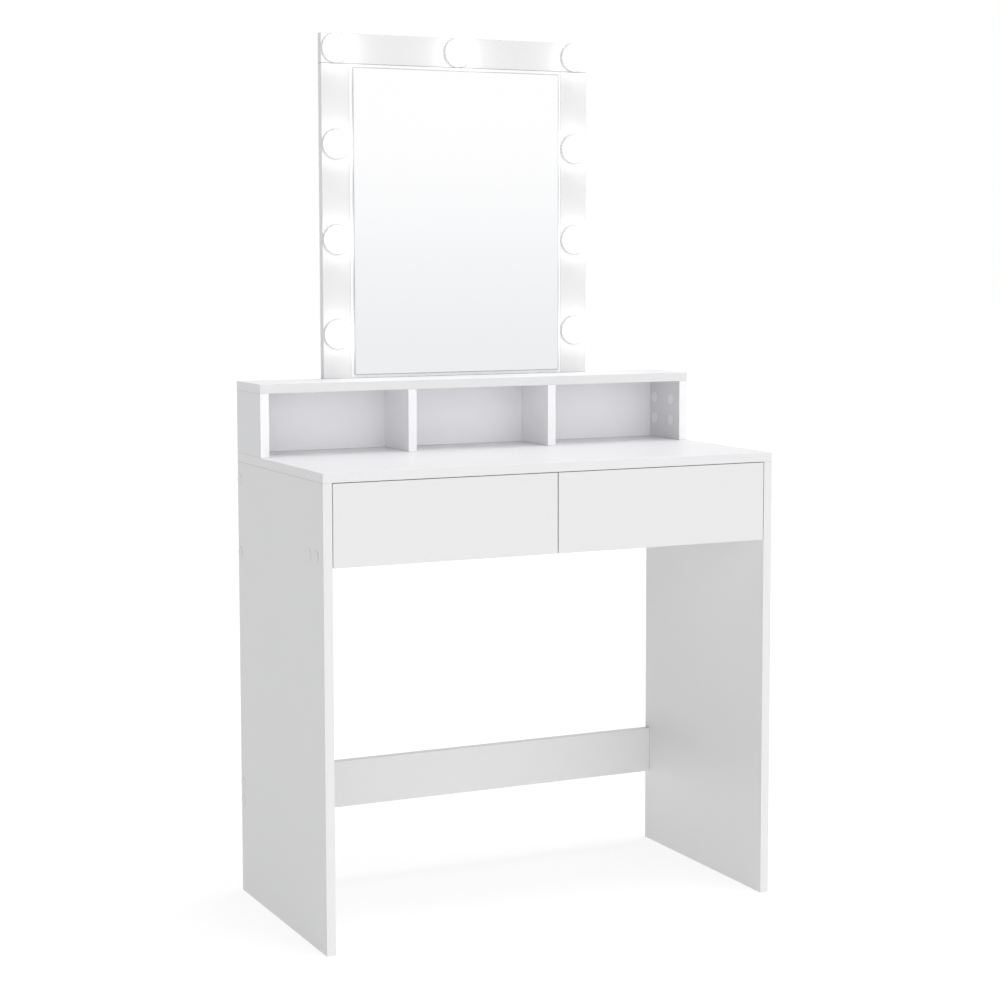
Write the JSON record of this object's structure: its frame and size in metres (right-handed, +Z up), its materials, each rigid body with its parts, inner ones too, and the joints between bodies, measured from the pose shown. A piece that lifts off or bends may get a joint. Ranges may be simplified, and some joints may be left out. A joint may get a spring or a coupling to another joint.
{
  "type": "vanity table with lighted mirror",
  "caption": "White flat-pack dressing table with two drawers, an open shelf unit and an upright mirror framed by round bulbs.",
  "frame": {"origin": "on the floor, midway between the side panels and midway between the table's front and back", "axes": "+Z up, +X to the right seen from the front, -Y towards the person who sits at the table"},
  "size_m": [0.8012, 0.4036, 1.45],
  "materials": {
    "white_board": "white melamine-faced particle board, satin, with edge banding",
    "drawer_board": "white foil-wrapped board, satin",
    "white_hardboard": "hardboard, white painted face",
    "beech": "plain beech",
    "mirror_glass": "silvered float glass, polished bevel",
    "frosted_globe": "frosted white, lit from inside",
    "bulb_base": "moulded white",
    "cap_plastic": "white, fine matt",
    "cast_zinc": "bare zinc casting",
    "zinc_plated_steel": "bright zinc plate",
    "epoxy_coated_steel": "white epoxy coating, semi-gloss",
    "bracket_steel": "white powder coating",
    "nylon": "natural white nylon",
    "wire_insulation": "white PVC insulation",
    "socket_plastic": "black moulded"
  },
  "bodies": {
    "root": {"bulb_bases": "bulb_base", "bulb_globes": "frosted_globe", "cam_bolts": "zinc_plated_steel", "cam_locks": "cast_zinc", "center_partition": "white_board", "confirmat_screws": "zinc_plated_steel", "cover_caps": "cap_plastic", "crossbar": "white_board", "front_rail": "white_board", "hutch_back_panel": "white_board", "hutch_left_divider": "white_board", "hutch_left_side": "white_board", "hutch_right_divider": "white_board", "hutch_right_side": "white_board", "hutch_top": "white_board", "left_drawer_left_cabinet_rail": "epoxy_coated_steel", "left_drawer_right_cabinet_rail": "epoxy_coated_steel", "left_side_panel": "white_board", "mirror_back_cover": "white_hardboard", "mirror_brackets": "bracket_steel", "mirror_center_board": "white_board", "mirror_glass": "mirror_glass", "mirror_left_light_board": "white_board", "mirror_right_light_board": "white_board", "mirror_top_light_board": "white_board", "power_jack": "socket_plastic", "rear_panel": "white_board", "right_drawer_left_cabinet_rail": "epoxy_coated_steel", "right_drawer_right_cabinet_rail": "epoxy_coated_steel", "right_side_panel": "white_board", "short_screws": "zinc_plated_steel", "tabletop": "white_board", "wire_harness": "wire_insulation", "wooden_dowels": "beech"},
    "left_drawer": {"left_drawer_back": "drawer_board", "left_drawer_bottom": "white_hardboard", "left_drawer_front": "white_board", "left_drawer_inner_front": "drawer_board", "left_drawer_left_drawer_rail": "epoxy_coated_steel", "left_drawer_left_side": "drawer_board", "left_drawer_right_drawer_rail": "epoxy_coated_steel", "left_drawer_right_side": "drawer_board", "left_drawer_screws": "zinc_plated_steel"},
    "left_drawer_left_fixed_roller": {"left_drawer_left_fixed_roller": "nylon"},
    "left_drawer_left_moving_roller": {"left_drawer_left_moving_roller": "nylon"},
    "left_drawer_right_fixed_roller": {"left_drawer_right_fixed_roller": "nylon"},
    "left_drawer_right_moving_roller": {"left_drawer_right_moving_roller": "nylon"},
    "right_drawer": {"right_drawer_back": "drawer_board", "right_drawer_bottom": "white_hardboard", "right_drawer_front": "white_board", "right_drawer_inner_front": "drawer_board", "right_drawer_left_drawer_rail": "epoxy_coated_steel", "right_drawer_left_side": "drawer_board", "right_drawer_right_drawer_rail": "epoxy_coated_steel", "right_drawer_right_side": "drawer_board", "right_drawer_screws": "zinc_plated_steel"},
    "right_drawer_left_fixed_roller": {"right_drawer_left_fixed_roller": "nylon"},
    "right_drawer_left_moving_roller": {"right_drawer_left_moving_roller": "nylon"},
    "right_drawer_right_fixed_roller": {"right_drawer_right_fixed_roller": "nylon"},
    "right_drawer_right_moving_roller": {"right_drawer_right_moving_roller": "nylon"}
  },
  "joints": [
    {"name": "left_drawer_slide", "type": "slide", "parent": "root", "child": "left_drawer", "axis": [0, -1, 0], "range_m": [0, 0.24]},
    {"name": "left_drawer_left_fixed_roller_spin", "type": "hinge", "parent": "root", "child": "left_drawer_left_fixed_roller", "pos_m": [-0.3798, -0.167, 0.6399], "axis": [1, 0, 0], "range_deg": [0, 1450]},
    {"name": "left_drawer_left_moving_roller_spin", "type": "hinge", "parent": "left_drawer", "child": "left_drawer_left_moving_roller", "pos_m": [-0.3777, 0.1, 0.6399], "axis": [1, 0, 0], "range_deg": [0, 1450]},
    {"name": "left_drawer_right_fixed_roller_spin", "type": "hinge", "parent": "root", "child": "left_drawer_right_fixed_roller", "pos_m": [-0.0127, -0.167, 0.6399], "axis": [1, 0, 0], "range_deg": [0, 1450]},
    {"name": "left_drawer_right_moving_roller_spin", "type": "hinge", "parent": "left_drawer", "child": "left_drawer_right_moving_roller", "pos_m": [-0.0148, 0.1, 0.6399], "axis": [1, 0, 0], "range_deg": [0, 1450]},
    {"name": "right_drawer_slide", "type": "slide", "parent": "root", "child": "right_drawer", "axis": [0, -1, 0], "range_m": [0, 0.24]},
    {"name": "right_drawer_left_fixed_roller_spin", "type": "hinge", "parent": "root", "child": "right_drawer_left_fixed_roller", "pos_m": [0.0127, -0.167, 0.6399], "axis": [1, 0, 0], "range_deg": [0, 1450]},
    {"name": "right_drawer_left_moving_roller_spin", "type": "hinge", "parent": "right_drawer", "child": "right_drawer_left_moving_roller", "pos_m": [0.0148, 0.1, 0.6399], "axis": [1, 0, 0], "range_deg": [0, 1450]},
    {"name": "right_drawer_right_fixed_roller_spin", "type": "hinge", "parent": "root", "child": "right_drawer_right_fixed_roller", "pos_m": [0.3798, -0.167, 0.6399], "axis": [1, 0, 0], "range_deg": [0, 1450]},
    {"name": "right_drawer_right_moving_roller_spin", "type": "hinge", "parent": "right_drawer", "child": "right_drawer_right_moving_roller", "pos_m": [0.3777, 0.1, 0.6399], "axis": [1, 0, 0], "range_deg": [0, 1450]}
  ],
  "couplings": [
    {"joint": "left_drawer_left_fixed_roller_spin", "follows": "left_drawer_slide", "rad_per_m": 105.26},
    {"joint": "left_drawer_left_moving_roller_spin", "follows": "left_drawer_slide", "rad_per_m": 105.26},
    {"joint": "left_drawer_right_fixed_roller_spin", "follows": "left_drawer_slide", "rad_per_m": 105.26},
    {"joint": "left_drawer_right_moving_roller_spin", "follows": "left_drawer_slide", "rad_per_m": 105.26},
    {"joint": "right_drawer_left_fixed_roller_spin", "follows": "right_drawer_slide", "rad_per_m": 105.26},
    {"joint": "right_drawer_left_moving_roller_spin", "follows": "right_drawer_slide", "rad_per_m": 105.26},
    {"joint": "right_drawer_right_fixed_roller_spin", "follows": "right_drawer_slide", "rad_per_m": 105.26},
    {"joint": "right_drawer_right_moving_roller_spin", "follows": "right_drawer_slide", "rad_per_m": 105.26}
  ]
}
